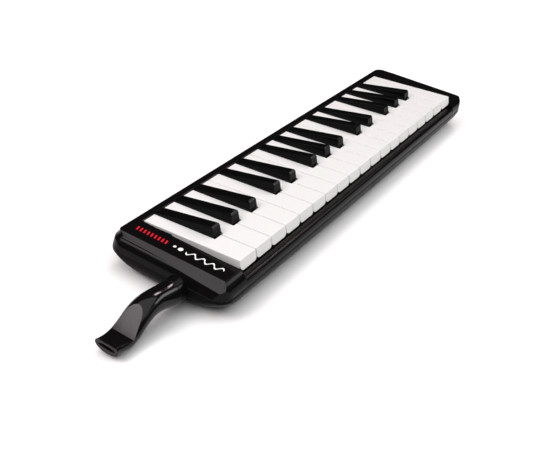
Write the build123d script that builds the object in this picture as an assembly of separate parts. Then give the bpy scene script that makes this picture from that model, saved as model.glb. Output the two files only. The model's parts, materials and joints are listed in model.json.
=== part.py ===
from build123d import *
import os
from math import cos, radians, sin

# A 32-key melodica, F to C. Millimetres, +Z up.
# Origin: centre of the flat base that it rests on. +X runs to the treble end, so the
# mouthpiece is at -X. The player's side, where the key fronts are, is -Y.

# ---- driving dimensions -------------------------------------------------------------
WHITE_COUNT = 19
PITCH = 20.3                     # one white key with its gap
KEY_GAP = 0.7
KEY_LENGTH = 88.8                # visible length of a white key
KEY_TILT = 3.9                   # resting slope of the keyboard, degrees, front high

CASE_LENGTH = 443.0              # at the seam between the shells
CASE_WIDTH = 109.0
CASE_TOP = 33.0
SEAM_Z = 20.0
CORNER_R = 12.0                  # plan corner of the casing at the seam
BELLY_R = 17.5                   # round under the edge of the lower shell
BELLY_CORNER = 20.0              # how much rounder its plan corners are at the base
BELLY_BOW = 3.0                  # bulge of its long sides at the base
BELLY_STEPS = 6                  # levels that the round is drawn through
LEAST_BOW = 0.02                 # keeps the straight seam a curve, so that every level matches
WALL = 2.2
TOP_WALL = 2.4
SEAM_CHAMFER = 0.35

# ---- keyboard layout ----------------------------------------------------------------
KEYBOARD = WHITE_COUNT * PITCH
KEY_BACK_Y = 42.8                # rear end of the visible keys
KEY_FRONT_Y = KEY_BACK_Y - KEY_LENGTH
# Centres of the sharps, in white-key widths from the low edge of the keyboard.
F_GROUP = (0.87, 2.04, 3.22)     # from the low edge of an F
C_GROUP = (0.95, 2.14)           # from the low edge of a C
SHARP_UNITS = []
for f_start in (0, 7, 14):
    SHARP_UNITS += [f_start + unit for unit in F_GROUP]
    if f_start < 14:
        SHARP_UNITS += [f_start + 4 + unit for unit in C_GROUP]
SHARP_X = [-KEYBOARD / 2 + PITCH * unit for unit in SHARP_UNITS]

SHARP_WIDTH = 9.6
SHARP_LENGTH = 56.1
SHARP_RISE = 8.3                 # front of a sharp above the white keys
SHARP_BACK_RISE = 1.5
SHARP_RAKE = 1.0                 # its front face leans back this far
SHARP_NOSE = 1.5                 # flat across the top of the front face
SHARP_DRAFT = 4                  # and its sides lean in, degrees
SLOT_HALF = 5.2                  # notch in the white keys round a sharp
SLOT_LENGTH = 57.7

PLATE = 2.2                      # thickness of a key's top
SKIRT_BACK = 4.6
SKIRT_FRONT = 6.8
LIP_DEPTH = 8.5
LIP_RAKE = 1.7                   # the lip's foot is this far forward of its top
LIP_CORNER_R = 3.0
KEY_WALL = 1.5
RIB_DEPTH = 6.0
SKIRT_Y = (15.0, 16.0)           # where the hollow underside ends, clear of the pivot

# ---- action -------------------------------------------------------------------------
PIVOT_Y, PIVOT_Z = 28.0, 28.5
ROD_R = 1.5
KEY_BORE_R = 1.55
BOSS_HALF = 2.5
BOSS_R = 3.0
TAIL_Z, TAIL_TOP = 25.2, 27.6
TAIL_END_Y = 49.0
PAD_Y = (40.6, 48.6)
PAD_HALF = 4.0
PAD_GAP = 0.05
WEB_Y = (38.8, 41.8)             # joins a key to its tail, just in front of the rear strip
WEB_TOP = 31.6
WEB_HALF, TAIL_HALF = 3.5, 3.9
ROD_HALF = 194.5
POST_TOP = 31.0
POST_HALF_X, POST_HALF_Y = 1.2, 2.8
COMB_T = 0.4                     # thickness of the spring strip
COMB_Y = (16.0, 21.5)
LEAF_HALF = 1.5

# ---- key bed with its reed cells ----------------------------------------------------
BED_HALF_X = 196.5
BED_REAR_Y = 51.6
CHEST_FRONT_Y = -24.0
CHEST_Z, CHEST_TOP = 16.0, 22.7
CELL_ROOF = 21.0
CELL_HALF = 4.0
CELL_Y = (-10.0, 47.4)
PALLET_HOLE = (5.0, 4.4)
PALLET_HOLE_Y = 44.6
DECK_TOP = 18.0
DECK_FRONT_Y = -49.8
FELT_WHITE = (-49.3, -45.3, 22.1, 24.2)      # y0, y1, z0, z1
FELT_SHARP = (-14.0, -9.0, 25.0, 27.2)
BED_SCREW_X = (-160.0, -80.0, 0.0, 80.0, 160.0)
BED_SCREW_Y = -38.0
CASE_SCREW_X, CASE_SCREW_Y = 201.0, 32.2
SCREW_HEAD_R, SCREW_HEAD_H = 2.7, 2.0
SCREW_WELL_R = 3.0
SCREW_POST_R = 3.8
SCREW_HOLE_R = 1.6

# ---- reeds --------------------------------------------------------------------------
PLATE_Z = (14.8, 16.0)
PLATE_Y = (-13.0, 48.4)
REED_T = 0.35
REED_W = 3.6
REED_LONG, REED_SHORT = 33.0, 13.0
REED_ROOT_Y = -2.5
RIVET_R = 0.9
RIVET_HEAD_R, RIVET_HEAD_H = 1.5, 0.6
PLATE_SCREW_Y = -11.6
PLATE_SCREW_COUNT = 5            # for each plate
PLATE_END_X = 191.5

# ---- wind chamber and wind way ------------------------------------------------------
PAN_Z = (9.4, 15.2)
PAN_WALL = 1.6
WIND_Y, WIND_Z = -13.4, 15.5                 # axis of the mouthpiece socket
COLLAR_R = 9.6
COLLAR_END_X = -228.2
SPIGOT_R = 6.45
SOCKET_R = 6.5
SOCKET_FLOOR_X = -208.0
SPIGOT_END_X = -209.0
SOCKET_BORE_R = 4.6
INLET_END_X = -204.0                         # box between the socket and the tray
INLET_REAR_Y = -2.0
INLET_Z = (6.2, 22.0)
O_RING_X, O_RING_R, O_RING_T = -216.0, 5.5, 0.47

# ---- condensate drain ---------------------------------------------------------------
DRAIN_Y, DRAIN_Z = 24.0, 12.9
DRAIN_CAP_X = (221.2, 224.6)
DRAIN_CAP_R = 3.7
DRAIN_STEM_R = 1.2
DRAIN_STEM_X = 192.0
DRAIN_SHOULDER_X = 216.8
DRAIN_GUIDE_R, DRAIN_GUIDE_END_X = 3.9, 216.0
DRAIN_HOLE_R = 1.45
DRAIN_SEAL_R = 1.75
DRAIN_PORT_R = 4.0
SPRING_COIL_R, SPRING_WIRE_R, SPRING_TURNS = 2.05, 0.3, 6

# ---- hand strap ---------------------------------------------------------------------
RECESS_HALF_X, RECESS_HALF_Y = 84.0, 26.0
RECESS_DEPTH = 7.0
STRAP_W, STRAP_T = 34.0, 1.6
STRAP_HALF_X = 79.0
STRAP_Z = 0.5
STRAP_SCREW_X = 72.0
STRAP_HOLE_R = 1.5

# ---- opening for the keys -----------------------------------------------------------
OPENING_HALF = KEYBOARD / 2 + 0.55
RAIL_Y, RAIL_Z = -50.4, 26.6     # low rail in front of the keys

# ---- ends and rear edge of the upper shell ------------------------------------------
# -1 is the mouthpiece end, 1 the treble end
END_BEVEL_X = {-1: 212.5, 1: 218.3}          # upper edge of the sloping band
END_BEVEL_SLOPE = {-1: 40, 1: 45}
END_BEVEL_SKEW = {-1: 0.9, 1: 3.4}
END_ROUND = {-1: ((-220.1, 25.2), (-217.0, 29.2)), 1: ((221.3, 26.8), (220.6, CASE_TOP))}
END_SHOULDER_X = -214.6
NOSE_ROUND = ((-52.4, 28.2), (-47.3, CASE_TOP))
REAR_FLAT_Y, REAR_R = 48.6, 2.5
REAR_SLOPE = (53.9, 26.5)
# Levels of the rounding of the two rear corners: z, then x of the mouthpiece end and of the
# treble end, y of the rear, and the corner radius at each of those ends.
REAR_CORNERS = (
    (18.5, -221.9, 221.8, 54.8, 12.0, 12.0),
    (25.2, -220.3, 221.6, 54.2, 12.5, 11.0),
    (26.5, -219.8, 221.5, 54.1, 12.5, 11.0),
    (29.2, -217.3, 221.3, 52.3, 11.0, 10.5),
    (30.6, -215.7, 220.0, 51.4, 9.0, 10.0),
    (32.3, -214.1, 217.2, 50.6, 6.0, 9.5),
    (33.2, -213.7, 216.2, 49.3, 3.0, 9.0),
)

X_AXIS_PLANE = Plane((0, 0, 0), x_dir=(0, 1, 0), z_dir=(1, 0, 0))   # sketch in Y, Z


# ---- helpers ------------------------------------------------------------------------
def block(x0, x1, y0, y1, z0, z1):
    """An axis-aligned box between two corners."""
    centre = ((x0 + x1) / 2, (y0 + y1) / 2, (z0 + z1) / 2)
    return Pos(*centre) * Box(x1 - x0, y1 - y0, z1 - z0)


def rod_x(x0, x1, y, z, radius):
    """A round bar along X."""
    return Pos((x0 + x1) / 2, y, z) * Rot(0, 90, 0) * Cylinder(radius, abs(x1 - x0))


def rod_z(x, y, z0, z1, radius):
    """A round bar along Z."""
    return Pos(x, y, (z0 + z1) / 2) * Cylinder(radius, z1 - z0)


def prism_x(points, x0, x1):
    """Extrude a closed Y-Z polygon from x0 to x1."""
    face = X_AXIS_PLANE * make_face(Polyline(*points, close=True))
    return Pos(x0, 0, 0) * extrude(face, x1 - x0)


def prism_x_face(face, x0, x1):
    """Extrude a Y-Z face from x0 to x1."""
    return Pos(x0, 0, 0) * extrude(X_AXIS_PLANE * face, x1 - x0)


def prism_z(points, z0, z1):
    """Extrude a closed X-Y polygon from z0 to z1."""
    return Pos(0, 0, z0) * extrude(make_face(Polyline(*points, close=True)), z1 - z0)


def tilt_keyboard(shape):
    """Turn a key drawn level into its resting slope."""
    hinge = Axis((0, KEY_BACK_Y, CASE_TOP), (1, 0, 0))
    return shape.rotate(hinge, -KEY_TILT)


def level_z(depth):
    """Height of a point that lies under the top of a level key."""
    return CASE_TOP - depth


def write(shape, name):
    """Write one node, named, as its own STEP."""
    shape.label = name
    export_step(shape, os.path.join("parts", name + ".step"))


# ---- key outlines -------------------------------------------------------------------
def white_edges(index):
    """x of the front sides and of the narrow rear sides of one white key."""
    left = -KEYBOARD / 2 + index * PITCH + KEY_GAP / 2
    right = left + PITCH - KEY_GAP
    tail_left, tail_right = left, right
    for sharp in SHARP_X:
        if abs(sharp - left) < PITCH / 2:
            tail_left = sharp + SLOT_HALF
        if abs(sharp - right) < PITCH / 2:
            tail_right = sharp - SLOT_HALF
    return left, right, tail_left, tail_right


def white_outline(index, inset, front_y):
    """Plan of a white key, drawn inset from its edges."""
    left, right, tail_left, tail_right = white_edges(index)
    shoulder = KEY_BACK_Y - SLOT_LENGTH - inset
    rear = KEY_BACK_Y - inset
    points = [(left + inset, front_y), (right - inset, front_y)]
    if tail_right < right:
        points += [(right - inset, shoulder), (tail_right - inset, shoulder)]
    points += [(tail_right - inset, rear), (tail_left + inset, rear)]
    if tail_left > left:
        points += [(tail_left + inset, shoulder), (left + inset, shoulder)]
    return points


def tail_centre(index):
    """x of the middle of a white key's narrow rear part."""
    _, _, tail_left, tail_right = white_edges(index)
    return (tail_left + tail_right) / 2


WHITE_TAIL_X = [tail_centre(i) for i in range(WHITE_COUNT)]
CELL_X = sorted(WHITE_TAIL_X + SHARP_X)


def key_action(centre):
    """Web, tail and pivot boss that hang under the rear of any key."""
    web = block(centre - WEB_HALF, centre + WEB_HALF, *WEB_Y, TAIL_Z, WEB_TOP)
    tail = block(centre - TAIL_HALF, centre + TAIL_HALF, WEB_Y[0], TAIL_END_Y, TAIL_Z, TAIL_TOP)
    cheek = block(centre - BOSS_HALF, centre + BOSS_HALF, PIVOT_Y - 2, PIVOT_Y + 2, PIVOT_Z, 32.0)
    eye = rod_x(centre - BOSS_HALF, centre + BOSS_HALF, PIVOT_Y, PIVOT_Z, BOSS_R)
    return web + tail + cheek + eye


def pivot_bore(centre):
    """The hole that a key turns on."""
    return rod_x(centre - 6, centre + 6, PIVOT_Y, PIVOT_Z, KEY_BORE_R)


def key_pad(centre):
    """Soft pad under a key's tail, resting on the chest over its hole."""
    y0, y1 = PAD_Y
    return block(centre - PAD_HALF, centre + PAD_HALF, y0, y1, CHEST_TOP + PAD_GAP, TAIL_Z)


def white_lip(index):
    """Front face of a white key, raked forward, with its lower corners rounded."""
    left, right, _, _ = white_edges(index)
    width = right - left
    front = Pos((left + right) / 2, 0, level_z(LIP_DEPTH / 2)) * Rot(90, 0, 0) * Rectangle(width, LIP_DEPTH)
    front = fillet(front.vertices().group_by(Axis.Z)[0], LIP_CORNER_R)
    slab = Pos(0, KEY_FRONT_Y + 4, 0) * extrude(front, 8)
    rake = prism_x([(KEY_FRONT_Y, level_z(0)), (KEY_FRONT_Y - LIP_RAKE, level_z(LIP_DEPTH)),
                    (KEY_FRONT_Y + 1.2, level_z(LIP_DEPTH)), (KEY_FRONT_Y + 2.4, level_z(0))],
                   left - 1, right + 1)
    return slab & rake


def white_key(index):
    """A hollow white key with its tail, its pivot eye and its pad."""
    left, right, _, _ = white_edges(index)
    outline = prism_z(white_outline(index, 0, KEY_FRONT_Y), level_z(12), level_z(0))
    side = prism_x([(KEY_BACK_Y, level_z(0)), (KEY_BACK_Y, level_z(PLATE)), (SKIRT_Y[1], level_z(PLATE)),
                    (SKIRT_Y[0], level_z(SKIRT_BACK)), (KEY_FRONT_Y + 1.5, level_z(SKIRT_FRONT)),
                    (KEY_FRONT_Y + 0.2, level_z(SKIRT_FRONT)), (KEY_FRONT_Y, level_z(0))],
                   left - 1, right + 1)
    hollow = prism_z(white_outline(index, KEY_WALL, KEY_FRONT_Y + 2.4), level_z(12), level_z(PLATE))
    hollow = hollow & block(left, right, KEY_FRONT_Y, SKIRT_Y[0] - KEY_WALL, level_z(12), level_z(PLATE))
    key = (outline & side) + white_lip(index) - hollow
    centre = tail_centre(index)
    key = key + block(centre - 1, centre + 1, KEY_FRONT_Y + 2, 14.0, level_z(RIB_DEPTH), level_z(PLATE / 2))
    top = key.faces().sort_by(Axis.Z)[-1]
    key = fillet(top.edges(), 0.6)
    key = tilt_keyboard(key) + key_action(centre) - pivot_bore(centre)
    return Compound([key.solid(), key_pad(centre).solid()])


def sharp_key(centre):
    """A sharp: a wedge that rises towards the player, with its tail, eye and pad."""
    front = KEY_BACK_Y - SHARP_LENGTH
    half = SHARP_WIDTH / 2
    middle = KEY_BACK_Y - SHARP_LENGTH / 2
    head = Pos(centre, middle, level_z(0)) * Rectangle(SHARP_WIDTH, SHARP_LENGTH)
    head = extrude(head, SHARP_RISE + 3.4, taper=SHARP_DRAFT)
    brow = front + SHARP_RAKE
    wedge = prism_x([(front, level_z(0)), (brow, level_z(SHARP_NOSE - SHARP_RISE)),
                     (brow + SHARP_NOSE, level_z(-SHARP_RISE)),
                     (KEY_BACK_Y, level_z(-SHARP_BACK_RISE)), (KEY_BACK_Y, level_z(0))],
                    centre - half, centre + half)
    wedge = head & wedge
    top_edges = wedge.faces().filter_by(lambda f: f.normal_at().Z > 0.95).edges()
    wedge = fillet(top_edges.filter_by(lambda e: e.length > SHARP_LENGTH / 2), 0.9)
    flange = Pos(centre, middle, level_z(0) + 0.3) * Box(SHARP_WIDTH + 0.3, SHARP_LENGTH + 0.8, 0.6)
    flange = flange - block(centre - 9, centre + 9, KEY_BACK_Y - 0.05, KEY_BACK_Y + 3, 20, 40)
    flange = fillet(flange.edges().filter_by(Axis.Z), 0.6)
    body = prism_x([(KEY_BACK_Y, level_z(0)), (KEY_BACK_Y, level_z(PLATE)), (SKIRT_Y[1], level_z(PLATE)),
                    (SKIRT_Y[0], level_z(RIB_DEPTH)), (front + 0.8, level_z(RIB_DEPTH)),
                    (front + 0.8, level_z(0))], centre - half + 0.2, centre + half - 0.2)
    key = tilt_keyboard(wedge + flange + body) + key_action(centre) - pivot_bore(centre)
    return Compound([key.solid(), key_pad(centre).solid()])


# ---- casing -------------------------------------------------------------------------
def plan(length, width, radius, z):
    """A rounded rectangle at one height."""
    return Pos(0, 0, z) * RectangleRounded(length, width, radius)


def bowed_plan(length, width, radius, bow, z):
    """A rounded rectangle whose long sides bulge, at one height."""
    half, middle, end = length / 2, width / 2, width / 2 - bow
    front = ThreePointArc((-half, -end), (0, -middle), (half, -end))
    back = ThreePointArc((half, end), (0, middle), (-half, end))
    face = make_face(front + Line(front @ 1, back @ 0) + back + Line(back @ 1, front @ 0))
    return Pos(0, 0, z) * fillet(face.vertices(), radius)


def prism_y(face):
    """Extrude an X-Z face to both sides, past the whole width of the casing."""
    return extrude(Plane.XZ * face, CASE_WIDTH, both=True)


def upper_outer():
    """Outside of the upper shell before the keyboard is opened in it."""
    groove = 2 * SEAM_CHAMFER
    low = SEAM_Z + SEAM_CHAMFER
    body = loft([plan(CASE_LENGTH - groove, CASE_WIDTH - groove, CORNER_R - SEAM_CHAMFER, SEAM_Z),
                 plan(CASE_LENGTH, CASE_WIDTH, CORNER_R, low),
                 plan(CASE_LENGTH - 1.0, CASE_WIDTH - 1.0, CORNER_R, CASE_TOP)], ruled=True)
    side = CASE_WIDTH / 2
    under = SEAM_Z - 1
    nose = ThreePointArc((-side, under), *NOSE_ROUND)
    rear = (REAR_FLAT_Y + REAR_R, CASE_TOP - REAR_R)
    top = Line(nose @ 1, (REAR_FLAT_Y, CASE_TOP))
    back = TangentArc((REAR_FLAT_Y, CASE_TOP), rear, tangent=(1, 0))
    rest = Polyline(rear, REAR_SLOPE, (side + 2, 24.0), (side + 2, under), (-side, under))
    body = body & prism_x_face(make_face(nose + top + back + rest), -CASE_LENGTH, CASE_LENGTH)
    end = CASE_LENGTH / 2
    left = ThreePointArc((-end, low), *END_ROUND[-1])
    right = ThreePointArc((end, low), *END_ROUND[1])
    over = Polyline(left @ 1, (END_SHOULDER_X, CASE_TOP), right @ 1)
    foot = Polyline((end, low), (end, under), (-end, under), (-end, low))
    body = body & prism_y(make_face(left + over + right + foot)) & rear_corners(0)
    return body - [end_bevel(number) for number in (-1, 1)]


def rear_corners(inset):
    """A block that rounds the two rear corners of what it is crossed with."""
    levels = []
    for z, left_x, right_x, rear_y, left_r, right_r in REAR_CORNERS:
        x0, x1, y1 = left_x + inset, right_x - inset, rear_y - inset
        outline = Polyline((x0, -CASE_WIDTH), (x1, -CASE_WIDTH), (x1, y1), (x0, y1), close=True)
        face = make_face(outline)
        face = fillet(face.vertices().sort_by(Axis.Y)[-2:].sort_by(Axis.X)[0], left_r)
        face = fillet(face.vertices().sort_by(lambda v: v.X + v.Y)[-1], right_r)
        levels.append(Pos(0, 0, z) * face)
    return loft(levels, ruled=True)


def end_bevel(side):
    """What is cut off to leave the sloping band along the top of an end."""
    cutter = Pos(0, 0, 20) * Box(200, 160, 40)
    cutter = Rot(0, side * END_BEVEL_SLOPE[side], 0) * cutter
    cutter = Rot(0, 0, END_BEVEL_SKEW[side]) * cutter
    return Pos(side * END_BEVEL_X[side], 0, CASE_TOP) * cutter


def upper_inner():
    """Hollow of the upper shell."""
    roof = CASE_TOP - TOP_WALL
    under = SEAM_Z - 1
    room = plan(CASE_LENGTH - 2 * WALL - 0.4, CASE_WIDTH - 2 * WALL, CORNER_R - WALL, under)
    body = extrude(room, roof - under)
    across = [(-52.3, under), (-52.3, 21.5), (-50.4, 25.2), (-46.4, roof), (47.9, roof), (49.4, 29.3),
              (52.1, 25.4), (52.3, 24.0), (52.3, under)]
    body = body & prism_x(across, -CASE_LENGTH, CASE_LENGTH)
    along = [(-219.1, under), (-219.0, 21.2), (-217.8, 24.6), (-214.9, 28.0), (-212.0, roof), (217.0, roof),
             (218.6, 28.6), (219.1, 24.0), (219.1, under)]
    body = body & prism_y(make_face(Polyline(*along, close=True))) & rear_corners(TOP_WALL)
    return body - [Pos(-side * 3.2, 0, -1.4) * end_bevel(side) for side in (-1, 1)]


def rail_relief():
    """What is cut from the front so that only a low rounded rail is left before the keys."""
    front = CASE_WIDTH / 2
    curve = EllipticalCenterArc((-51.6, SEAM_Z), front - 51.6, RAIL_Z - SEAM_Z, 90, arc_size=90)
    outside = Polyline(curve @ 1, (-front - 5, SEAM_Z), (-front - 5, 45), (-40, 45), (-40, RAIL_Z), curve @ 0)
    return prism_x_face(make_face(curve + outside), -OPENING_HALF, OPENING_HALF)


def upper_casing():
    """Upper shell: end caps, rear strip, front rail and screw posts."""
    shell = upper_outer() - upper_inner() - rail_relief()
    opening = block(-OPENING_HALF, OPENING_HALF, RAIL_Y, KEY_BACK_Y + 0.6, SEAM_Z - 1, 45)
    shell = shell - opening
    rims = shell.edges().filter_by_position(Axis.Z, CASE_TOP - 0.01, CASE_TOP + 0.01)
    rims = rims.filter_by(lambda e: abs(e.center().X) < OPENING_HALF + 0.1 and e.center().Y < KEY_BACK_Y + 1)
    shell = chamfer(rims.filter_by(lambda e: e.length > 50), 0.5)
    for side in (-1, 1):
        x0, x1 = sorted((side * OPENING_HALF, side * (OPENING_HALF + 1.6)))
        shell = shell + block(x0, x1, RAIL_Y, KEY_BACK_Y - 20, 23.5, CASE_TOP - TOP_WALL + 0.2)
        for y in (-CASE_SCREW_Y, CASE_SCREW_Y):
            post = rod_z(side * CASE_SCREW_X, y, SEAM_Z, CASE_TOP - TOP_WALL + 0.2, 3.4)
            shell = shell + post - rod_z(side * CASE_SCREW_X, y, SEAM_Z - 1, 29.0, 1.4)
    return shell - rod_x(-230, -200, WIND_Y, WIND_Z, COLLAR_R + 0.05)


def recess_outline(inset, z):
    """Plan of the hollow for the hand strap."""
    return plan(2 * (RECESS_HALF_X - inset), 2 * (RECESS_HALF_Y - inset), 9 - inset, z)


def dish(inset, top):
    """The round-bottomed shape of the lower shell up to a height, drawn inset from its outside."""
    radius = BELLY_R - inset
    levels = []
    for step in range(BELLY_STEPS + 1):
        angle = radians(90 - 90 * step / BELLY_STEPS)
        narrow = 2 * (BELLY_R - radius * cos(angle))
        levels.append(bowed_plan(CASE_LENGTH - narrow, CASE_WIDTH - narrow,
                                 CORNER_R - inset + BELLY_CORNER * sin(angle),
                                 LEAST_BOW + BELLY_BOW * sin(angle), BELLY_R - radius * sin(angle)))
    return loft(levels) + extrude(levels[-1], top - BELLY_R)


def lower_casing():
    """Lower shell: a dish with a hollow for the hand strap, posts and ribs."""
    groove = 2 * SEAM_CHAMFER
    low = SEAM_Z - SEAM_CHAMFER
    rim = loft([bowed_plan(CASE_LENGTH, CASE_WIDTH, CORNER_R, LEAST_BOW, low),
                bowed_plan(CASE_LENGTH - groove, CASE_WIDTH - groove, CORNER_R - SEAM_CHAMFER, LEAST_BOW,
                           SEAM_Z)], ruled=True)
    shell = dish(0, low) + rim - dish(WALL, SEAM_Z + 1)
    dome = extrude(recess_outline(-2.0, 0.5), RECESS_DEPTH + 1.5)
    hollow = extrude(recess_outline(0, -1), RECESS_DEPTH + 1)
    shell = shell + dome - hollow
    for x in (-190.0, -140.0, -100.0, 100.0, 140.0, 190.0):
        shell = shell + block(x - 1, x + 1, -20, 36, 1.5, PAN_Z[0])
    for x in BED_SCREW_X:
        shell = shell + rod_z(x, BED_SCREW_Y, 1.5, CHEST_Z, SCREW_POST_R)
        shell = shell - rod_z(x, BED_SCREW_Y, -1, 4.5, SCREW_WELL_R)
        shell = shell - rod_z(x, BED_SCREW_Y, 0, 20, SCREW_HOLE_R)
    for side in (-1, 1):
        for y in (-CASE_SCREW_Y, CASE_SCREW_Y):
            x = side * CASE_SCREW_X
            shell = shell + rod_z(x, y, 3, SEAM_Z, SCREW_POST_R)
            shell = shell - rod_z(x, y, -1, 5.0, SCREW_WELL_R) - rod_z(x, y, 0, 25, SCREW_HOLE_R)
    shell = shell - rod_x(-230, -203, WIND_Y, WIND_Z, COLLAR_R + 0.05)
    shell = shell - rod_x(210, 227, DRAIN_Y, DRAIN_Z, DRAIN_PORT_R)
    for side in (-1, 1):
        shell = shell - rod_z(side * STRAP_SCREW_X, 0, RECESS_DEPTH - 1, 12, 1.2)
    return shell


# ---- key bed and action parts -------------------------------------------------------
def key_bed():
    """Moulded bed: reed cells with pallet holes, pivot posts, felt ridges, front deck."""
    bed = block(-BED_HALF_X, BED_HALF_X, CHEST_FRONT_Y, BED_REAR_Y, CHEST_Z, CHEST_TOP)
    bed = bed + block(-BED_HALF_X, BED_HALF_X, DECK_FRONT_Y, CHEST_FRONT_Y, CHEST_Z, DECK_TOP)
    y0, y1, z0, _ = FELT_WHITE
    bed = bed + block(-KEYBOARD / 2, KEYBOARD / 2, y0, y1, DECK_TOP, z0)
    y0, y1, z0, _ = FELT_SHARP
    bed = bed + block(-KEYBOARD / 2, KEYBOARD / 2, y0, y1, CHEST_TOP, z0)
    for x in BED_SCREW_X:
        bed = bed + rod_z(x, BED_SCREW_Y, CHEST_Z, 22.5, 3.4) - rod_z(x, BED_SCREW_Y, CHEST_Z, 21.5, 1.2)
    posts = [(a + b) / 2 for a, b in zip(CELL_X, CELL_X[1:])]
    posts = [CELL_X[0] - 5.6] + posts + [CELL_X[-1] + 5.6]
    cutters = []
    for x in CELL_X:
        cutters.append(block(x - CELL_HALF, x + CELL_HALF, *CELL_Y, CHEST_Z - 1, CELL_ROOF))
        width, depth = PALLET_HOLE
        cutters.append(block(x - width / 2, x + width / 2, PALLET_HOLE_Y - depth / 2,
                             PALLET_HOLE_Y + depth / 2, CELL_ROOF - 1, CHEST_TOP + 1))
    bed = bed - cutters
    bed = bed + [block(x - POST_HALF_X, x + POST_HALF_X, PIVOT_Y - POST_HALF_Y, PIVOT_Y + POST_HALF_Y,
                       CHEST_TOP - 0.5, POST_TOP) for x in posts]
    bed = bed - rod_x(-BED_HALF_X - 1, BED_HALF_X + 1, PIVOT_Y, PIVOT_Z, ROD_R + 0.02)
    for x, y in PLATE_SCREWS:
        bed = bed - rod_z(x, y, CHEST_Z - 1, CHEST_Z + 4, 0.9)
    return bed


def pivot_rod():
    """Steel rod that all the keys turn on."""
    return chamfer(rod_x(-ROD_HALF, ROD_HALF, PIVOT_Y, PIVOT_Z, ROD_R).edges(), 0.3)


def key_spring_comb():
    """Stamped strip with one leaf for each key."""
    comb = block(-190, 190, *COMB_Y, CHEST_TOP, CHEST_TOP + COMB_T)
    leaf = [(16.5, CHEST_TOP), (16.5, CHEST_TOP + COMB_T), (13.0, CHEST_TOP + 0.7), (0.0, 29.4), (-3.0, 29.8),
            (-3.0, 29.4), (0.2, 29.0), (13.2, CHEST_TOP + 0.3)]
    return comb + [prism_x(leaf, x - LEAF_HALF, x + LEAF_HALF) for x in CELL_X]


def felt(strip):
    """A felt strip that stops the keys at the bottom of their travel."""
    y0, y1, z0, z1 = strip
    return block(-KEYBOARD / 2, KEYBOARD / 2, y0, y1, z0, z1)


# ---- reeds --------------------------------------------------------------------------
HALF_COUNT = len(CELL_X) // 2
LOW_X, HIGH_X = CELL_X[:HALF_COUNT], CELL_X[HALF_COUNT:]
SPLIT_X = (LOW_X[-1] + HIGH_X[0]) / 2
PLATE_SPANS = ((-PLATE_END_X, SPLIT_X - 0.4), (SPLIT_X + 0.4, PLATE_END_X))
PLATE_SCREWS = []
for x0, x1 in PLATE_SPANS:
    for step in range(PLATE_SCREW_COUNT):
        share = step / (PLATE_SCREW_COUNT - 1)
        PLATE_SCREWS.append((x0 + 3 + (x1 - x0 - 6) * share, PLATE_SCREW_Y))


def reed_length(x):
    """Reeds get shorter towards the treble."""
    share = (x - CELL_X[0]) / (CELL_X[-1] - CELL_X[0])
    return REED_LONG + (REED_SHORT - REED_LONG) * share


def reed_plate(span, centres):
    """Brass plate with a slot under each reed."""
    plate = block(span[0], span[1], *PLATE_Y, *PLATE_Z)
    cutters = []
    for x in centres:
        cutters.append(block(x - REED_W / 2 + 0.3, x + REED_W / 2 - 0.3, REED_ROOT_Y + 3,
                             REED_ROOT_Y + 3 + reed_length(x), PLATE_Z[0] - 1, PLATE_Z[1] + 1))
        cutters.append(rod_z(x, REED_ROOT_Y, PLATE_Z[0] - 1, PLATE_Z[1] + 1, RIVET_R))
    cutters += [rod_z(x, y, PLATE_Z[0] - 1, PLATE_Z[1] + 1, 1.1) for x, y in PLATE_SCREWS]
    return plate - cutters


def reeds(centres):
    """The tongues of one plate, each riveted at its root."""
    tongues = []
    for x in centres:
        tongue = block(x - REED_W / 2, x + REED_W / 2, REED_ROOT_Y - 2.5, REED_ROOT_Y + 2.8,
                       PLATE_Z[0] - REED_T, PLATE_Z[0])
        tongue = tongue + block(x - REED_W / 2 + 0.4, x + REED_W / 2 - 0.4, REED_ROOT_Y + 2.5,
                                REED_ROOT_Y + 2.9 + reed_length(x), PLATE_Z[0] - REED_T, PLATE_Z[0])
        tongue = tongue - rod_z(x, REED_ROOT_Y, PLATE_Z[0] - 1, PLATE_Z[0] + 1, RIVET_R)
        tongues.append(tongue.solid())
    return Compound(tongues)


def reed_rivets():
    """One rivet through each reed and its plate."""
    rivets = []
    for x in CELL_X:
        rivet = rod_z(x, REED_ROOT_Y, PLATE_Z[0] - REED_T, PLATE_Z[1], RIVET_R)
        foot = PLATE_Z[0] - REED_T
        rivet = rivet + rod_z(x, REED_ROOT_Y, PLATE_Z[1], PLATE_Z[1] + RIVET_HEAD_H, RIVET_HEAD_R)
        rivet = rivet + rod_z(x, REED_ROOT_Y, foot - RIVET_HEAD_H, foot, RIVET_HEAD_R)
        rivets.append(rivet.solid())
    return Compound(rivets)


def screw(x, y, head_z, head_r, head_h, tip_z, shank_r):
    """A screw put in from below, with a cross slot in its head."""
    body = rod_z(x, y, head_z, head_z + head_h, head_r) + rod_z(x, y, head_z + head_h - 0.1, tip_z, shank_r)
    slot = block(x - head_r * 0.6, x + head_r * 0.6, y - 0.3, y + 0.3, head_z - 1, head_z + head_h * 0.5)
    cross = block(x - 0.3, x + 0.3, y - head_r * 0.6, y + head_r * 0.6, head_z - 1, head_z + head_h * 0.5)
    return (body - slot - cross).solid()


def reed_plate_screws():
    """Small screws that hold the reed plates up against the bed."""
    return Compound([screw(x, y, PLATE_Z[0] - 1.2, 2.0, 1.2, CHEST_Z + 3.6, 0.88) for x, y in PLATE_SCREWS])


# ---- wind chamber -------------------------------------------------------------------
def chest_gasket():
    """Soft ring between the bed and the wind chamber."""
    z0, z1 = PAN_Z[1], CHEST_Z
    ring = block(-BED_HALF_X, BED_HALF_X, CHEST_FRONT_Y, BED_REAR_Y, z0, z1)
    return ring - block(-193, 193, CHEST_FRONT_Y + 3, BED_REAR_Y - 3, z0 - 1, z1 + 1)


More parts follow.
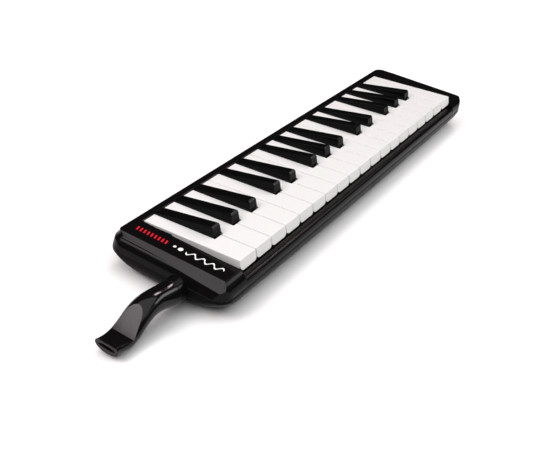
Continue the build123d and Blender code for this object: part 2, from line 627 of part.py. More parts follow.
def wind_chamber():
    """Tray under the reeds that holds the player's breath, with an inlet box."""
    z0, z1 = PAN_Z
    end_x, rear_y = INLET_END_X, INLET_REAR_Y
    clear = WALL + 0.3
    pan = block(-BED_HALF_X, BED_HALF_X, CHEST_FRONT_Y, BED_REAR_Y, z0, z1) & dish(clear, SEAM_Z)
    inlet = block(end_x, -BED_HALF_X - 0.3, CHEST_FRONT_Y, rear_y, *INLET_Z)
    inlet = inlet + block(end_x, -BED_HALF_X + 1, CHEST_FRONT_Y, rear_y, INLET_Z[0], z1)
    pan = pan + inlet
    room = block(-BED_HALF_X + PAN_WALL, BED_HALF_X - PAN_WALL, CHEST_FRONT_Y + PAN_WALL,
                 BED_REAR_Y - PAN_WALL, z0 + PAN_WALL, z1 + 1)
    pan = pan - (room & dish(clear + PAN_WALL, SEAM_Z))
    pan = pan - block(end_x + PAN_WALL, -BED_HALF_X - 0.3 - PAN_WALL, CHEST_FRONT_Y + PAN_WALL,
                      rear_y - PAN_WALL, INLET_Z[0] + PAN_WALL, INLET_Z[1] - PAN_WALL)
    pan = pan - block(-203, -BED_HALF_X + 3, CHEST_FRONT_Y + 4, rear_y - 4, z0 + PAN_WALL, z1 - 0.9)
    pan = pan - rod_x(end_x - 1, end_x + 3, WIND_Y, WIND_Z, 5.2)
    return pan - rod_x(190, 200, DRAIN_Y, DRAIN_Z, DRAIN_HOLE_R)


def mouthpiece_socket():
    """Collar in the end of the casing that takes the mouthpiece."""
    collar = rod_x(COLLAR_END_X, -206.0, WIND_Y, WIND_Z, COLLAR_R)
    collar = collar + rod_x(-206.2, INLET_END_X, WIND_Y, WIND_Z, 7.2)
    outer_rim = collar.edges().filter_by_position(Axis.X, COLLAR_END_X - 0.01, COLLAR_END_X + 0.01)
    collar = fillet(outer_rim, 0.3)
    collar = collar - rod_x(COLLAR_END_X - 1, SOCKET_FLOOR_X, WIND_Y, WIND_Z, SOCKET_R)
    return collar - rod_x(SOCKET_FLOOR_X - 2, INLET_END_X + 1, WIND_Y, WIND_Z, SOCKET_BORE_R)


# x, centre height, half width, half height of the mouthpiece's outside
MOUTH_SECTIONS = (
    (-228.5, 15.5, 9.6, 9.6),
    (-234.0, 16.4, 9.6, 9.1),
    (-242.0, 18.3, 9.4, 8.5),
    (-251.0, 19.6, 9.4, 8.2),
    (-259.0, 18.6, 9.8, 8.3),
    (-267.0, 14.6, 10.2, 8.5),
    (-275.0, 9.6, 10.3, 7.9),
    (-283.0, 8.0, 10.0, 6.6),
    (-293.6, 9.7, 10.1, 5.5),
)
# the same for the wind way inside it
MOUTH_BORE = (
    (-207.0, 15.5, 4.5, 4.5),
    (-228.5, 15.5, 4.5, 4.5),
    (-240.0, 17.6, 5.0, 4.2),
    (-251.0, 19.2, 5.5, 4.0),
    (-260.0, 17.2, 5.8, 3.4),
    (-269.0, 11.4, 6.2, 2.4),
    (-278.0, 5.9, 6.6, 1.8),
    (-286.0, 7.0, 7.0, 1.7),
    (-294.6, 8.6, 7.2, 1.7),
)
FACET_TOP = (-257.0, 30.7)
FACET_FOOT = (-278.0, 10.3)
TIP_TOP = (-296.0, 13.4)


def oval_loft(sections):
    """Loft upright ovals along the wind way."""
    faces = []
    for x, z, half_w, half_h in sections:
        place = Plane((x, WIND_Y, z), x_dir=(0, 1, 0), z_dir=(-1, 0, 0))
        faces.append(place * Ellipse(half_w, half_h))
    return loft(faces)


def mouthpiece():
    """Curved neck that flattens into a beak with a turned-up tip."""
    neck = oval_loft(MOUTH_SECTIONS)
    over = Polyline(FACET_TOP, FACET_FOOT, TIP_TOP, (TIP_TOP[0], 45), (FACET_TOP[0], 45), close=True)
    cutter = extrude(Plane.XZ * make_face(over), 40, both=True)
    neck = neck - (Pos(0, WIND_Y, 0) * cutter)
    spigot = rod_x(-228.6, SPIGOT_END_X, WIND_Y, WIND_Z, SPIGOT_R)
    groove = rod_x(O_RING_X - 1, O_RING_X + 1, WIND_Y, WIND_Z, SPIGOT_R + 1)
    groove = groove - rod_x(O_RING_X - 2, O_RING_X + 2, WIND_Y, WIND_Z, O_RING_R)
    spigot = spigot - groove
    return neck + spigot - oval_loft(MOUTH_BORE)


def mouthpiece_o_ring():
    """Ring that seals the spigot in the socket."""
    return Pos(O_RING_X, WIND_Y, WIND_Z) * Rot(0, 90, 0) * Torus(O_RING_R + O_RING_T, O_RING_T)


# ---- condensate drain parts ---------------------------------------------------------
def drain_guide():
    """Bush between the wind chamber and the end wall that the drain button slides in."""
    guide = rod_x(BED_HALF_X, DRAIN_GUIDE_END_X, DRAIN_Y, DRAIN_Z, DRAIN_GUIDE_R)
    guide = guide - rod_x(BED_HALF_X + 6, DRAIN_GUIDE_END_X + 1, DRAIN_Y, DRAIN_Z, DRAIN_GUIDE_R - 1)
    guide = guide - rod_x(BED_HALF_X - 1, BED_HALF_X + 7, DRAIN_Y, DRAIN_Z, DRAIN_HOLE_R)
    drip = block(198.0, 200.0, DRAIN_Y - 1, DRAIN_Y + 1, DRAIN_Z - 5, DRAIN_Z)
    return guide - drip


def drain_button():
    """Push button with a stem through to the wind chamber."""
    cap = rod_x(*DRAIN_CAP_X, DRAIN_Y, DRAIN_Z, DRAIN_CAP_R)
    cap = fillet(cap.edges().sort_by(Axis.X)[-1], 0.8)
    cap = cap + rod_x(DRAIN_SHOULDER_X, DRAIN_CAP_X[0] + 0.1, DRAIN_Y, DRAIN_Z, 2.6)
    return cap + rod_x(DRAIN_STEM_X, DRAIN_SHOULDER_X + 0.2, DRAIN_Y, DRAIN_Z, DRAIN_STEM_R)


def drain_seal():
    """Rubber disc that shuts the drain hole from inside."""
    disc = rod_x(DRAIN_STEM_X, BED_HALF_X - PAN_WALL, DRAIN_Y, DRAIN_Z, DRAIN_SEAL_R)
    return disc - rod_x(DRAIN_STEM_X - 1, BED_HALF_X, DRAIN_Y, DRAIN_Z, DRAIN_STEM_R)


def drain_spring():
    """Coil that pushes the drain button out."""
    start = BED_HALF_X + 6 + SPRING_WIRE_R + 0.1
    length = DRAIN_SHOULDER_X - SPRING_WIRE_R - start
    path = Helix(length / SPRING_TURNS, length, SPRING_COIL_R, center=(start, DRAIN_Y, DRAIN_Z),
                 direction=(1, 0, 0))
    section = Plane(path @ 0, z_dir=path % 0) * Circle(SPRING_WIRE_R)
    return sweep(section, path)


# ---- hand strap ---------------------------------------------------------------------
def hand_strap():
    """Flat strap across the hollow in the base."""
    z1 = STRAP_Z + STRAP_T
    strap = block(-STRAP_HALF_X, STRAP_HALF_X, -STRAP_W / 2, STRAP_W / 2, STRAP_Z, z1)
    strap = fillet(strap.edges().filter_by(Axis.Z), 6)
    for side in (-1, 1):
        strap = strap - rod_z(side * STRAP_SCREW_X, 0, -1, 5, STRAP_HOLE_R)
    return strap


def strap_blocks():
    """Spacer under each end of the strap."""
    blocks = []
    for side in (-1, 1):
        x = side * STRAP_SCREW_X
        spacer = block(x - 5, x + 5, -13, 13, STRAP_Z + STRAP_T, RECESS_DEPTH)
        blocks.append((spacer - rod_z(x, 0, 0, 9, STRAP_HOLE_R)).solid())
    return Compound(blocks)


def strap_screws():
    """Screw through each end of the strap."""
    return Compound([screw(side * STRAP_SCREW_X, 0, 0.1, 3.2, 0.4, RECESS_DEPTH + 1.6, 1.18)
                     for side in (-1, 1)])


def casing_screws():
    """Screws that draw the two shells together at the corners."""
    places = [(i * CASE_SCREW_X, j * CASE_SCREW_Y) for i in (-1, 1) for j in (-1, 1)]
    return Compound([screw(x, y, 3.0, SCREW_HEAD_R, SCREW_HEAD_H, 28.0, 1.38) for x, y in places])


def key_bed_screws():
    """Screws that hold the bed in the lower shell."""
    return Compound([screw(x, BED_SCREW_Y, 2.5, SCREW_HEAD_R, SCREW_HEAD_H, 20.5, 1.18) for x in BED_SCREW_X])


def build():
    """Make every node and write it."""
    os.makedirs("parts", exist_ok=True)
    for index in range(WHITE_COUNT):
        write(white_key(index), f"white_key_{index + 1:02d}")
    for index, centre in enumerate(SHARP_X):
        write(sharp_key(centre), f"black_key_{index + 1:02d}")
    write(upper_casing(), "upper_casing")
    write(lower_casing(), "lower_casing")
    write(key_bed(), "key_bed")
    write(pivot_rod(), "pivot_rod")
    write(key_spring_comb(), "key_spring_comb")
    write(felt(FELT_WHITE), "white_key_felt")
    write(felt(FELT_SHARP), "black_key_felt")
    write(reed_plate(PLATE_SPANS[0], LOW_X), "reed_plate_low")
    write(reed_plate(PLATE_SPANS[1], HIGH_X), "reed_plate_high")
    write(reeds(LOW_X), "reeds_low")
    write(reeds(HIGH_X), "reeds_high")
    write(reed_rivets(), "reed_rivets")
    write(reed_plate_screws(), "reed_plate_screws")
    write(chest_gasket(), "chest_gasket")
    write(wind_chamber(), "wind_chamber")
    write(mouthpiece_socket(), "mouthpiece_socket")
    write(mouthpiece(), "mouthpiece")
    write(mouthpiece_o_ring(), "mouthpiece_o_ring")
    write(drain_guide(), "drain_guide")
    write(drain_button(), "drain_button")
    write(drain_seal(), "drain_seal")
    write(drain_spring(), "drain_spring")
    write(hand_strap(), "hand_strap")
    write(strap_blocks(), "strap_blocks")
    write(strap_screws(), "strap_screws")
    write(casing_screws(), "casing_screws")
    write(key_bed_screws(), "key_bed_screws")


build()
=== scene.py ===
"""Looks for the 32-key melodica: materials, soft pieces, print, floor, light and camera."""
import json
import math
import random

import bmesh
import bpy
from mathutils import Matrix, Vector


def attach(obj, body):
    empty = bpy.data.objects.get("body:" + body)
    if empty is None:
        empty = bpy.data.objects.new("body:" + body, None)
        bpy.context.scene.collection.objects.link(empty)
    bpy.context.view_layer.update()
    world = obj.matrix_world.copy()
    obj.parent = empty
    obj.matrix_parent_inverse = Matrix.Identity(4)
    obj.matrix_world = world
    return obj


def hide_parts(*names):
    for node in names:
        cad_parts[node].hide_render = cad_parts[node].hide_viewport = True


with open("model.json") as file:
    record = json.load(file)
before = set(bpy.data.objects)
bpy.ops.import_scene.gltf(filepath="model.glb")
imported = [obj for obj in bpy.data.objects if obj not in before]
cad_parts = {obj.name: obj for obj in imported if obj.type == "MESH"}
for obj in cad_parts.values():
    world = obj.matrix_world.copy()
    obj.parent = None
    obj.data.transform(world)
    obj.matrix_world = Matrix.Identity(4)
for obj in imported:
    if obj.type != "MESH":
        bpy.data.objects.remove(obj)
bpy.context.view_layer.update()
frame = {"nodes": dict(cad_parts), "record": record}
random.seed(7)
MM = 0.001


# ---- camera -------------------------------------------------------------------------
CAMERA_AT = (-0.57336, -0.27988, 0.37422)
CAMERA_RIGHT = Vector((0.5432, -0.8324, 0.1098))
CAMERA_UP = Vector((0.4211, 0.3832, 0.8221))
CAMERA_LENS = 51.578
SENSOR_WIDTH = 36.0
NEAR_CLIP, FAR_CLIP = 0.01, 50.0


def make_camera():
    """The one camera. Its right and up axes say how it is turned."""
    data = bpy.data.cameras.new("camera")
    data.lens = CAMERA_LENS
    data.sensor_width = SENSOR_WIDTH
    data.clip_start = NEAR_CLIP
    data.clip_end = FAR_CLIP
    camera = bpy.data.objects.new("camera", data)
    bpy.context.collection.objects.link(camera)
    right = CAMERA_RIGHT.normalized()
    up = (CAMERA_UP - right * CAMERA_UP.dot(right)).normalized()
    back = right.cross(up)
    turn = Matrix((right, up, back)).transposed().to_4x4()
    camera.matrix_world = Matrix.Translation(CAMERA_AT) @ turn
    bpy.context.scene.camera = camera


make_camera()


# ---- materials ----------------------------------------------------------------------
RIM_RADIUS = 0.5 * MM               # width of the rubbed edges
RIM_START, RIM_FULL = 0.985, 0.90   # how far an edge turns where the rubbing starts and is full
EDGE_SOFTNESS = 0.35 * MM           # how much the shading rounds sharp edges
BEVEL_SAMPLES = 4
POLISH_SIZE, POLISH_DEPTH = 0.0011, 0.000004
GRAIN_DEPTH = 0.00003
PLASTIC_IOR = 1.5


class Nodes:
    """A small helper that adds and joins shader nodes."""

    def __init__(self, name):
        self.material = bpy.data.materials.new(name)
        self.material.use_nodes = True
        self.tree = self.material.node_tree
        self.shader = self.tree.nodes["Principled BSDF"]
        self.coords = self.add("ShaderNodeTexCoord").outputs["Object"]

    def add(self, kind, **values):
        node = self.tree.nodes.new(kind)
        for key, value in values.items():
            if hasattr(node, key):
                setattr(node, key, value)
            else:
                node.inputs[key.replace("_", " ")].default_value = value
        return node

    def link(self, source, target):
        self.tree.links.new(source, target)

    def noise(self, size, detail=3.0, stretch=(1, 1, 1), rough=0.5):
        """Noise whose blobs are about size metres across."""
        place = self.add("ShaderNodeMapping")
        place.inputs["Scale"].default_value = stretch
        self.link(self.coords, place.inputs["Vector"])
        node = self.add("ShaderNodeTexNoise", Scale=1 / size, Detail=detail, Roughness=rough)
        self.link(place.outputs["Vector"], node.inputs["Vector"])
        return node.outputs["Fac"]

    def ramp(self, source, low, high, stops):
        """Map source from low..high onto values or colours."""
        node = self.add("ShaderNodeMapRange", clamp=True)
        node.inputs["From Min"].default_value = low
        node.inputs["From Max"].default_value = high
        node.inputs["To Min"].default_value = stops[0]
        node.inputs["To Max"].default_value = stops[1]
        self.link(source, node.inputs["Value"])
        return node.outputs["Result"]

    def mix(self, factor, first, second, mode="MIX"):
        """Mix two colours by a factor; each is a colour or a socket."""
        node = self.add("ShaderNodeMix", data_type="RGBA", blend_type=mode)
        for value, socket in ((factor, 0), (first, 6), (second, 7)):
            if isinstance(value, bpy.types.NodeSocket):
                self.link(value, node.inputs[socket])
            elif isinstance(value, (int, float)):
                node.inputs[socket].default_value = value
            else:
                node.inputs[socket].default_value = (*value, 1)
        return node.outputs[2]

    def math(self, operation, first, second):
        node = self.add("ShaderNodeMath", operation=operation)
        for value, socket in ((first, 0), (second, 1)):
            if isinstance(value, bpy.types.NodeSocket):
                self.link(value, node.inputs[socket])
            else:
                node.inputs[socket].default_value = value
        return node.outputs[0]

    def rim(self, radius):
        """1 on the outer edges of the shape and 0 on its faces."""
        soft = self.add("ShaderNodeBevel", samples=BEVEL_SAMPLES, Radius=radius)
        flat = self.add("ShaderNodeNewGeometry")
        match = self.add("ShaderNodeVectorMath", operation="DOT_PRODUCT")
        self.link(soft.outputs["Normal"], match.inputs[0])
        self.link(flat.outputs["Normal"], match.inputs[1])
        return self.ramp(match.outputs["Value"], RIM_START, RIM_FULL, (0.0, 1.0))

    def bump(self, height, distance, strength=1.0, radius=0.0):
        """Bump the surface; radius also rounds its edges a little."""
        node = self.add("ShaderNodeBump", Distance=distance, Strength=strength)
        self.link(height, node.inputs["Height"])
        if radius:
            edge = self.add("ShaderNodeBevel", samples=BEVEL_SAMPLES, Radius=radius)
            self.link(edge.outputs["Normal"], node.inputs["Normal"])
        self.link(node.outputs["Normal"], self.shader.inputs["Normal"])

    def set(self, **values):
        for key, value in values.items():
            self.shader.inputs[key.replace("_", " ")].default_value = value


def moulded(name, colour, edge, rough, coat=0.0, grain=0.0, gloss=0.3, tone=0.12, smudges=(0.8, 1.35)):
    """Moulded plastic: faint flow marks, finger smudges, fine scratches and rubbed edges."""
    n = Nodes(name)
    flow = n.noise(0.045, 2.0, (0.35, 1, 1))
    dark = tuple(c * (1 - tone) for c in colour)
    light = tuple(min(1.0, c * (1 + tone)) for c in colour)
    base = n.mix(flow, dark, light)
    patchy = n.noise(0.012, 4.0)
    worn = n.math("MULTIPLY", n.rim(RIM_RADIUS), n.ramp(patchy, 0.42, 0.7, (0.0, 0.8)))
    n.link(n.mix(worn, base, edge), n.shader.inputs["Base Color"])
    smudge = n.ramp(n.noise(0.02, 5.0, rough=0.62), 0.35, 0.75, tuple(rough * s for s in smudges))
    scratch = n.ramp(n.noise(0.0016, 2.0, (0.06, 1, 1)), 0.66, 0.8, (0.0, 0.10))
    total = n.math("ADD", smudge, scratch)
    n.link(n.math("ADD", total, n.math("MULTIPLY", worn, 0.15)), n.shader.inputs["Roughness"])
    if grain:
        n.bump(n.noise(grain, 3.0), GRAIN_DEPTH, 1.0, EDGE_SOFTNESS)
    else:
        n.bump(n.noise(POLISH_SIZE, 2.0), POLISH_DEPTH, 1.0, EDGE_SOFTNESS)
    n.set(IOR=PLASTIC_IOR, Specular_IOR_Level=gloss, Coat_Weight=coat, Coat_Roughness=0.06)
    return n.material


def metal(name, colour, rough, brush=(1, 1, 1), tarnish=(0.3, 0.2, 0.1)):
    """Bare metal with brushing and tarnish."""
    n = Nodes(name)
    lines = n.noise(0.0006, 3.0, brush)
    stain = n.ramp(n.noise(0.009, 5.0), 0.45, 0.75, (0.0, 0.55))
    n.link(n.mix(stain, n.mix(lines, tuple(c * 0.86 for c in colour), colour), tarnish),
           n.shader.inputs["Base Color"])
    n.link(n.ramp(lines, 0.3, 0.7, (rough * 0.75, rough * 1.3)), n.shader.inputs["Roughness"])
    n.bump(lines, 0.00001, 0.6)
    n.set(Metallic=1.0)
    return n.material


def rubber(name, colour):
    """Dull rubber with a fine tooth and a little dust."""
    n = Nodes(name)
    dust = n.ramp(n.noise(0.006, 5.0), 0.5, 0.8, (0.0, 0.5))
    n.link(n.mix(dust, colour, tuple(c + 0.05 for c in colour)), n.shader.inputs["Base Color"])
    n.link(n.ramp(dust, 0.0, 0.5, (0.62, 0.8)), n.shader.inputs["Roughness"])
    n.bump(n.noise(0.0004, 3.0), 0.00002)
    return n.material


def felt_cloth(name, colour):
    """Pressed felt: matted fibres and a soft sheen."""
    n = Nodes(name)
    fibres = n.noise(0.0005, 8.0, (1, 1, 2.5), 0.75)
    blotch = n.noise(0.008, 4.0)
    shade = n.mix(blotch, tuple(c * 0.7 for c in colour), tuple(min(1, c * 1.3) for c in colour))
    n.link(n.mix(n.ramp(fibres, 0.35, 0.7, (0.0, 0.5)), shade, tuple(c * 0.4 for c in colour)),
           n.shader.inputs["Base Color"])
    n.link(n.ramp(fibres, 0.3, 0.7, (0.88, 1.0)), n.shader.inputs["Roughness"])
    n.bump(fibres, 0.0003, 0.9)
    n.set(Sheen_Weight=0.5, Sheen_Roughness=0.5)
    return n.material


def grained(name, colour):
    """Strap leather: pebbled grain with painted shade in its grooves, creases and rubbed high spots."""
    n = Nodes(name)
    cells = n.add("ShaderNodeTexVoronoi", feature="DISTANCE_TO_EDGE", Scale=1 / 0.0011)
    n.link(n.coords, cells.inputs["Vector"])
    pebble = n.ramp(cells.outputs["Distance"], 0.0, 0.28, (0.0, 1.0))
    crease = n.noise(0.01, 5.0, (1, 0.3, 1))
    worn = n.ramp(crease, 0.5, 0.75, (0.0, 0.55))
    # Painted shade: the grooves between the pebbles are coloured darker than the pebble tops.
    base = n.mix(pebble, tuple(c * 0.45 for c in colour), colour)
    n.link(n.mix(worn, base, tuple(c * 2.2 + 0.01 for c in colour)), n.shader.inputs["Base Color"])
    n.link(n.ramp(pebble, 0.0, 1.0, (0.72, 0.42)), n.shader.inputs["Roughness"])
    n.bump(n.math("ADD", pebble, n.math("MULTIPLY", crease, 0.6)), 0.00012, 0.8)
    return n.material


def ink(name, colour):
    """Printed ink: slightly uneven, with a satin face."""
    n = Nodes(name)
    speck = n.noise(0.0008, 5.0, rough=0.7)
    n.link(n.mix(n.ramp(speck, 0.35, 0.75, (0.0, 0.35)), colour, tuple(c * 0.75 for c in colour)),
           n.shader.inputs["Base Color"])
    n.link(n.ramp(speck, 0.3, 0.7, (0.32, 0.5)), n.shader.inputs["Roughness"])
    n.bump(speck, 0.00001, 0.5)
    return n.material


def thread(name, colour):
    """Twisted sewing thread, with painted shade in the grooves of the twist."""
    n = Nodes(name)
    twist = n.add("ShaderNodeTexWave", wave_type="BANDS", bands_direction="DIAGONAL", Scale=900.0,
                  Distortion=1.5)
    n.link(n.coords, twist.inputs["Vector"])
    # Painted shade: the grooves between the twisted strands are coloured darker than the strands.
    n.link(n.mix(twist.outputs["Fac"], tuple(c * 0.55 for c in colour), colour),
           n.shader.inputs["Base Color"])
    n.link(n.ramp(twist.outputs["Fac"], 0, 1, (0.85, 0.65)), n.shader.inputs["Roughness"])
    n.bump(twist.outputs["Fac"], 0.00008, 0.8)
    return n.material


BLACK = (0.0065, 0.0058, 0.0062)
MATERIALS = {
    "white_key": moulded("white_key_plastic", (0.71, 0.709, 0.70), (0.80, 0.795, 0.79), 0.30, gloss=0.45,
                         tone=0.01, smudges=(0.97, 1.06)),
    "black_key": moulded("black_key_plastic", (0.0045, 0.0045, 0.005), (0.05, 0.05, 0.05), 0.15, gloss=0.13),
    "casing": moulded("casing_plastic", BLACK, (0.06, 0.055, 0.055), 0.16, gloss=0.15),
    "lower_casing": moulded("lower_casing_plastic", (0.0075, 0.0065, 0.0065), (0.06, 0.055, 0.055), 0.24,
                            gloss=0.05),
    "collar": moulded("collar_plastic", (0.006, 0.0055, 0.006), (0.05, 0.045, 0.05), 0.15, gloss=0.25),
    "mouthpiece": moulded("mouthpiece_plastic", (0.007, 0.006, 0.0065), (0.06, 0.05, 0.05), 0.13, gloss=0.35),
    "button": moulded("button_plastic", (0.02, 0.02, 0.02), (0.1, 0.1, 0.1), 0.2),
    "bed": moulded("bed_plastic", (0.02, 0.02, 0.021), (0.06, 0.06, 0.06), 0.5, grain=0.0006, gloss=0.25),
    "steel": metal("zinc_steel", (0.62, 0.62, 0.64), 0.32, (1, 1, 0.1), (0.35, 0.33, 0.3)),
    "spring": metal("spring_steel", (0.5, 0.49, 0.47), 0.35, (1, 0.1, 1), (0.22, 0.19, 0.16)),
    "brass": metal("plate_brass", (0.74, 0.56, 0.28), 0.34, (0.1, 1, 1), (0.42, 0.29, 0.14)),
    "reed": metal("reed_bronze", (0.7, 0.47, 0.26), 0.3, (1, 0.1, 1), (0.4, 0.24, 0.13)),
    "rubber": rubber("seal_rubber", (0.03, 0.03, 0.03)),
    "felt": felt_cloth("stop_felt", (0.030, 0.014, 0.012)),
    "strap": grained("strap_leather", (0.03, 0.027, 0.026)),
}
RED_INK = ink("red_print", (0.62, 0.012, 0.03))
WHITE_INK = ink("white_print", (0.80, 0.80, 0.79))
THREAD = thread("strap_thread", (0.10, 0.095, 0.09))
node_slots = {row["node"]: row["material_slot"] for row in frame["record"]["subparts"]}
for node_name, node_object in frame["nodes"].items():
    material = MATERIALS[node_slots[node_name]]
    if not node_object.material_slots:
        node_object.data.materials.append(material)
    for material_slot in node_object.material_slots:
        material_slot.material = material


# ---- pieces -------------------------------------------------------------------------
def add_piece(name, mesh, material, body, smooth=True):
    """Put a mesh in the scene as a piece that rides on a body."""
    piece = bpy.data.objects.new(name, mesh)
    bpy.context.collection.objects.link(piece)
    mesh.materials.append(material)
    for polygon in mesh.polygons:
        polygon.use_smooth = smooth
    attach(piece, body)
    return piece


def node_box(name):
    """Lowest and highest corner of a CAD node."""
    node = frame["nodes"][name]
    corners = [node.matrix_world @ Vector(corner) for corner in node.bound_box]
    low = Vector([min(c[i] for c in corners) for i in range(3)])
    high = Vector([max(c[i] for c in corners) for i in range(3)])
    return low, high


FELT_INSET = 0.12 * MM
FELT_RINGS, FELT_ACROSS, FELT_UP = 260, 6, 4
FELT_CORNER = 0.35 * MM
FELT_FUZZ_Y, FELT_FUZZ_Z = 0.08, 0.06    # millimetres


def felt_strip(node_name):
    """Felt strip with soft uneven faces, in place of a plain CAD block."""
    low, high = node_box(node_name)
    low, high = low + Vector((FELT_INSET,) * 3), high - Vector((FELT_INSET,) * 3)
    mesh = bpy.data.meshes.new(node_name + "_cloth")
    work = bmesh.new()
    across, up = FELT_ACROSS, FELT_UP
    border = [(i / across, 0.0) for i in range(across)] + [(1.0, j / up) for j in range(up)]
    border += [(1 - i / across, 1.0) for i in range(across)] + [(0.0, 1 - j / up) for j in range(up)]
    columns = []
    for step in range(FELT_RINGS + 1):
        x = low.x + (high.x - low.x) * step / FELT_RINGS
        ring = []
        for a, b in border:
            corner = FELT_CORNER if a in (0.0, 1.0) and b in (0.0, 1.0) else 0.0
            y = low.y + (high.y - low.y) * a
            z = low.z + (high.z - low.z) * b
            y += (corner if a < 0.5 else -corner) + random.uniform(-FELT_FUZZ_Y, FELT_FUZZ_Y) * MM
            z += (corner if b < 0.5 else -corner) + random.uniform(-FELT_FUZZ_Z, 0.0) * MM * (b > 0.5)
            ring.append(work.verts.new((x, y, z)))
        columns.append(ring)
    for first, second in zip(columns, columns[1:]):
        for k, vertex in enumerate(first):
            after = (k + 1) % len(first)
            work.faces.new((vertex, second[k], second[after], first[after]))
    work.faces.new(columns[0])
    work.faces.new(reversed(columns[-1]))
    bmesh.ops.recalc_face_normals(work, faces=work.faces)
    work.to_mesh(mesh)
    work.free()
    strip = add_piece(node_name + "_cloth", mesh, MATERIALS["felt"], "casing")
    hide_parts(node_name)


def rounded_outline(half_x, half_y, radius, steps=8):
    """Points round a rounded rectangle."""
    points = []
    for quarter, (sx, sy) in enumerate(((1, 1), (-1, 1), (-1, -1), (1, -1))):
        for step in range(steps + 1):
            angle = math.radians(90 * quarter + 90 * step / steps)
            points.append((sx * (half_x - radius) + radius * math.cos(angle),
                           sy * (half_y - radius) + radius * math.sin(angle)))
    return points


STRAP_CORNER = 6 * MM
STRAP_LAYERS = ((0.0, 0.45), (0.12, 0.12), (0.35, 0.0), (0.65, 0.0), (0.88, 0.12), (1.0, 0.45))
STITCH_INSET, STITCH_LENGTH, STITCH_GAP, STITCH_R = 2.6 * MM, 3.0 * MM, 1.2 * MM, 0.24 * MM
STITCH_END = 20 * MM                # plain leather left at each end of the rows


def strap_leather():
    """Leather strap with softened edges and no screw holes. Layers are (share of height, inset in mm)."""
    low, high = node_box("hand_strap")
    half_x, half_y = high.x, high.y
    work = bmesh.new()
    thick = high.z - low.z
    rings = []
    for share, inset in STRAP_LAYERS:
        outline = rounded_outline(half_x - inset * MM, half_y - inset * MM, STRAP_CORNER)
        rings.append([work.verts.new((x, y, low.z + thick * share)) for x, y in outline])
    for first, second in zip(rings, rings[1:]):
        for k, vertex in enumerate(first):
            after = (k + 1) % len(first)
            work.faces.new((vertex, first[after], second[after], second[k]))
    work.faces.new(reversed(rings[0]))
    work.faces.new(rings[-1])
    mesh = bpy.data.meshes.new("strap_leather")
    work.to_mesh(mesh)
    work.free()
    strap = add_piece("strap_leather", mesh, MATERIALS["strap"], "casing", smooth=False)
    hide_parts("hand_strap")


def strap_stitching():
    """Row of stitches along each edge of the strap, on both of its faces."""
    low, high = node_box("hand_strap")
    work = bmesh.new()
    reach = high.x - STITCH_END
    step = STITCH_LENGTH + STITCH_GAP
    stretch = Matrix.Diagonal((1, 1, STITCH_LENGTH / (2 * STITCH_R), 1))
    lying = Matrix.Rotation(math.pi / 2, 4, "Y")
    for side in (-1, 1):
        for z in (low.z, high.z):
            for k in range(int(2 * reach / step)):
                x = -reach + (k + 0.5) * step
                place = Matrix.Translation((x, side * (high.y - STITCH_INSET), z)) @ lying
                bmesh.ops.create_uvsphere(work, u_segments=8, v_segments=6, radius=STITCH_R,
                                          matrix=place @ stretch)
    mesh = bpy.data.meshes.new("strap_stitching")
    work.to_mesh(mesh)
    work.free()
    add_piece("strap_stitching", mesh, THREAD, "casing")


STRIP_X, STRIP_TOP = -0.2030, 0.0330
PRINT_LIFT = 0.03 * MM
BAR_COUNT, BAR_START, BAR_STEP, BAR_HALF, BAR_SLANT, BAR_WIDTH = 9, 11.0, 3.4, 2.2, 1.0, 1.6
WAVE_STEPS, WAVE_START, WAVE_LENGTH, WAVE_HEIGHT, WAVE_HALF, WAVE_TURNS = 64, -40.0, 34.0, 2.0, 0.8, 8
DOTS = ((-1.0, 2.1), (4.4, 1.3))    # centre and radius
DOT_SIDES = 24


def flat_print(name, polygons, material):
    """Ink on the end strip, as flat shapes just above the plastic."""
    mesh = bpy.data.meshes.new(name)
    vertices, faces = [], []
    for polygon in polygons:
        faces.append(range(len(vertices), len(vertices) + len(polygon)))
        vertices += [(STRIP_X + x * MM, y * MM, STRIP_TOP + PRINT_LIFT) for x, y in polygon]
    mesh.from_pydata(vertices, [], [tuple(face) for face in faces])
    add_piece(name, mesh, material, "casing", smooth=False)


def print_marks():
    """Made-up marks: a row of red slanted bars and a white wave with dots."""
    bars = []
    for k in range(BAR_COUNT):
        y = BAR_START + BAR_STEP * k
        bars.append([(-BAR_HALF, y), (BAR_HALF, y + BAR_SLANT), (BAR_HALF, y + BAR_SLANT + BAR_WIDTH),
                     (-BAR_HALF, y + BAR_WIDTH)])
    flat_print("red_bars", bars, RED_INK)
    ribbon = []
    for k in range(WAVE_STEPS):
        ends = []
        for edge in (k, k + 1):
            y = WAVE_START + WAVE_LENGTH * edge / WAVE_STEPS
            ends.append((WAVE_HEIGHT * math.sin(edge / WAVE_STEPS * math.pi * WAVE_TURNS), y))
        (xa, ya), (xb, yb) = ends
        ribbon.append([(xa - WAVE_HALF, ya), (xa + WAVE_HALF, ya),
                       (xb + WAVE_HALF, yb), (xb - WAVE_HALF, yb)])
    dots = []
    for centre_y, radius in DOTS:
        angles = [math.tau * k / DOT_SIDES for k in range(DOT_SIDES)]
        dots.append([(radius * math.cos(angle), centre_y + radius * math.sin(angle)) for angle in angles])
    flat_print("white_wave", ribbon + dots, WHITE_INK)


for felt_name in ("white_key_felt", "black_key_felt"):
    felt_strip(felt_name)
strap_leather()
strap_stitching()
print_marks()


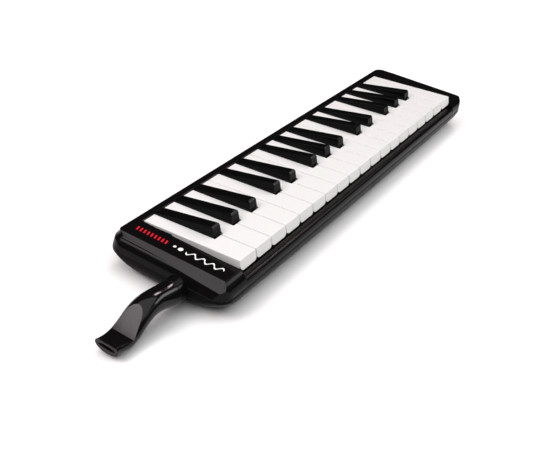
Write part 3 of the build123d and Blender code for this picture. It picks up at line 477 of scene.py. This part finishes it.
# ---- floor, light -------------------------------------------------------------------
FLOOR_HALF = 6.0
FLOOR_DROP = 0.0001
WORLD_STRENGTH = 0.02
VIEW_GAMMA = 0.84
WHITE_LIGHT = (1, 1, 1)
LIGHTS = (                          # name, place, aim, size, watts, colour
    ("overhead_box", (-0.35, -0.30, 1.7), (-0.1, -0.1, 0), (3.2, 2.8), 51, WHITE_LIGHT),
    ("left_box", (-1.01, 0.54, 0.95), (-0.23, 0, 0), (0.85, 0.52), 10, (1, 0.92, 0.93)),
    ("neck_box", (0.72, 0.16, 0.88), (-0.247, -0.016, 0.027), (0.26, 0.2), 2.7, (1, 0.84, 0.84)),
    ("right_box", (1.0, -0.80, 0.88), (0, 0, 0), (0.9, 0.35), 5, WHITE_LIGHT),
    ("front_box", (0.5, -1.6, 0.9), (0, 0, 0), (1.4, 0.7), 2, WHITE_LIGHT),
)


def make_floor():
    """Pale seamless floor."""
    mesh = bpy.data.meshes.new("floor")
    size = FLOOR_HALF
    mesh.from_pydata([(-size, -size, 0), (size, -size, 0), (size, size, 0), (-size, size, 0)], [],
                     [(0, 1, 2, 3)])
    floor = bpy.data.objects.new("floor", mesh)
    bpy.context.collection.objects.link(floor)
    floor.location.z = -FLOOR_DROP
    n = Nodes("floor_paper")
    n.link(n.mix(n.noise(0.4, 2.0), (0.90, 0.90, 0.90), (0.92, 0.92, 0.92)), n.shader.inputs["Base Color"])
    n.link(n.ramp(n.noise(0.01, 3.0), 0.3, 0.7, (0.85, 0.95)), n.shader.inputs["Roughness"])
    n.set(Specular_IOR_Level=0.1)
    mesh.materials.append(n.material)


def area_light(name, place, aim, size, watts, colour):
    """A soft box aimed at a point."""
    data = bpy.data.lights.new(name, "AREA")
    data.shape = "RECTANGLE"
    data.size, data.size_y = size
    data.energy = watts
    data.color = colour
    light = bpy.data.objects.new(name, data)
    bpy.context.collection.objects.link(light)
    light.location = place
    light.rotation_euler = (Vector(aim) - Vector(place)).to_track_quat("-Z", "Y").to_euler()


def make_light():
    """Soft boxes overhead, to both sides and in front, and a small one for the neck, in a dark room."""
    world = bpy.data.worlds.new("studio")
    bpy.context.scene.world = world
    world.use_nodes = True
    back = world.node_tree.nodes["Background"]
    back.inputs["Color"].default_value = (1.0, 0.99, 0.985, 1)
    back.inputs["Strength"].default_value = WORLD_STRENGTH
    for row in LIGHTS:
        area_light(*row)


make_floor()
make_light()
bpy.context.scene.view_settings.view_transform = "Standard"
bpy.context.scene.view_settings.gamma = VIEW_GAMMA
